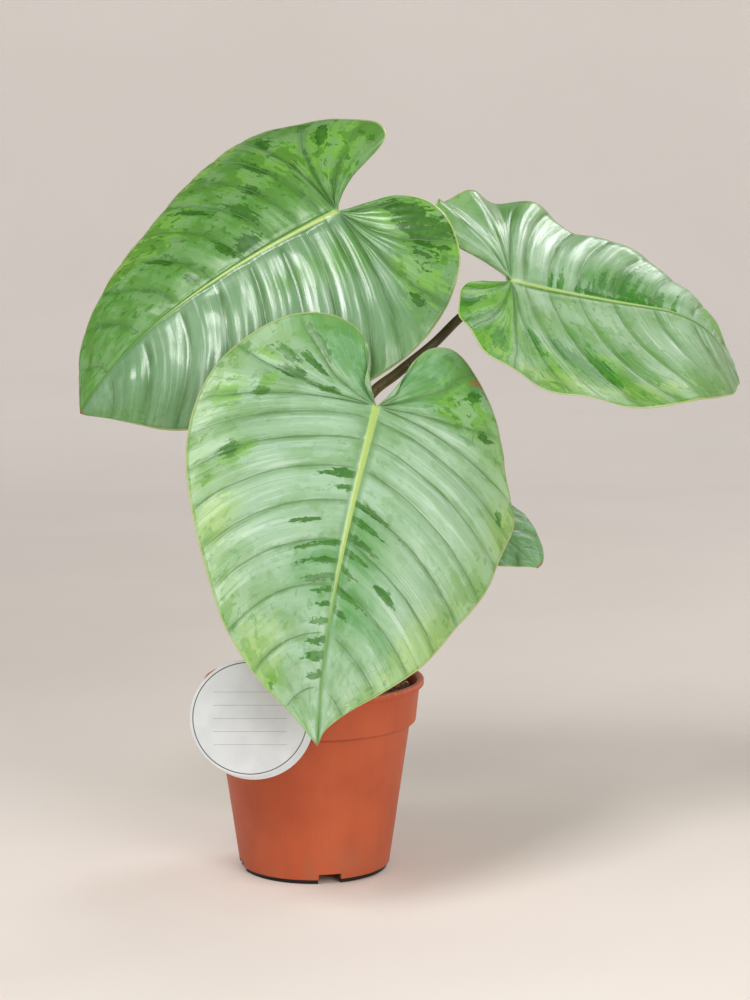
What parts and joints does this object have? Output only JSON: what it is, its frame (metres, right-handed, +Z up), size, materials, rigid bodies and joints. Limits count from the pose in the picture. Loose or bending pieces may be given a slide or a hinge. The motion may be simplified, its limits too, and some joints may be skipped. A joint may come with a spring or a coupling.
{
  "type": "potted philodendron sodiroi",
  "caption": "Potted philodendron with broad heart-shaped silvery leaves on long stalks, in a round terracotta-coloured nursery pot with a blank round plant tag.",
  "frame": {"origin": "middle of the pot's underside, on the pot's axis, at the level of the surface it stands on", "axes": "+Z up along the pot's axis; -Y towards the side that the large front leaf hangs over; +X to the right, towards the right-hand leaf"},
  "size_m": [0.3735, 0.2336, 0.4085],
  "materials": {
    "terracotta_plastic": "satin",
    "potting_soil": "matte",
    "stem_bark": "matte",
    "leaf_stalk": "satin",
    "silver_leaf": "satin",
    "young_leaf": "satin",
    "tag_card": "satin"
  },
  "bodies": {
    "root": {"pot": "terracotta_plastic", "soil": "potting_soil", "stem": "stem_bark", "petiole_left": "leaf_stalk", "petiole_front": "leaf_stalk", "petiole_right": "leaf_stalk", "petiole_small": "leaf_stalk", "blade_left": "silver_leaf", "blade_front": "silver_leaf", "blade_right": "silver_leaf", "blade_small": "young_leaf", "label_disc": "tag_card", "label_strap": "tag_card"}
  },
  "joints": []
}
